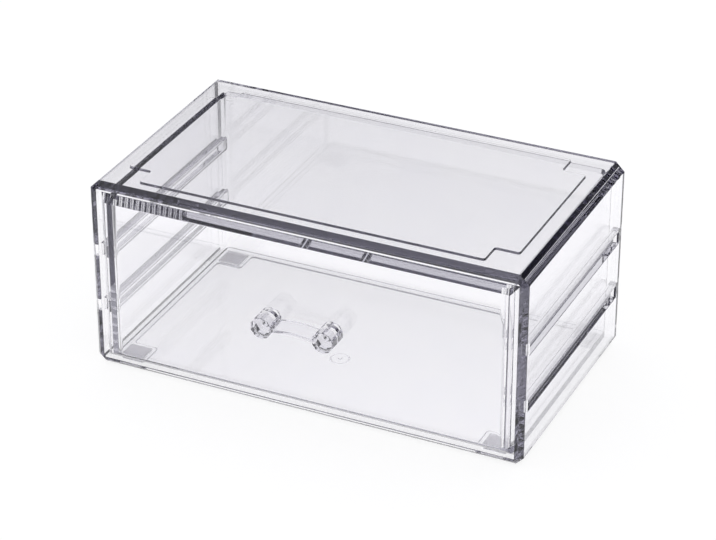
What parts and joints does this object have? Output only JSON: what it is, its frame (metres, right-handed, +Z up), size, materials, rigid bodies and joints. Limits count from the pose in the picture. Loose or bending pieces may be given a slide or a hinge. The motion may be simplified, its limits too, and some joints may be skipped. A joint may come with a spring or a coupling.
{
  "type": "stackable drawer box",
  "caption": "Clear rectangular stackable drawer box with bevelled edges, a sliding clear drawer with a bridge handle on faceted knobs, and anti-slip feet.",
  "frame": {"origin": "on the surface that the feet stand on, at the middle of the whole outline with the handle", "axes": "+X to the right, +Y to the back, +Z up; the drawer opens along -Y"},
  "size_m": [0.254, 0.156, 0.1155],
  "materials": {
    "casing_plastic": "clear polished",
    "drawer_plastic": "clear polished",
    "handle_plastic": "clear polished",
    "foot_rubber": "translucent satin"
  },
  "bodies": {
    "casing": {"casing_shell": "casing_plastic", "front_left_foot": "foot_rubber", "front_right_foot": "foot_rubber", "back_left_foot": "foot_rubber", "back_right_foot": "foot_rubber"},
    "drawer": {"drawer_body": "drawer_plastic", "handle_bridge": "handle_plastic", "left_knob": "handle_plastic", "right_knob": "handle_plastic"}
  },
  "joints": [
    {"name": "drawer_slide", "type": "slide", "parent": "casing", "child": "drawer", "axis": [0, -1, 0], "range_m": [0, 0.11]}
  ]
}
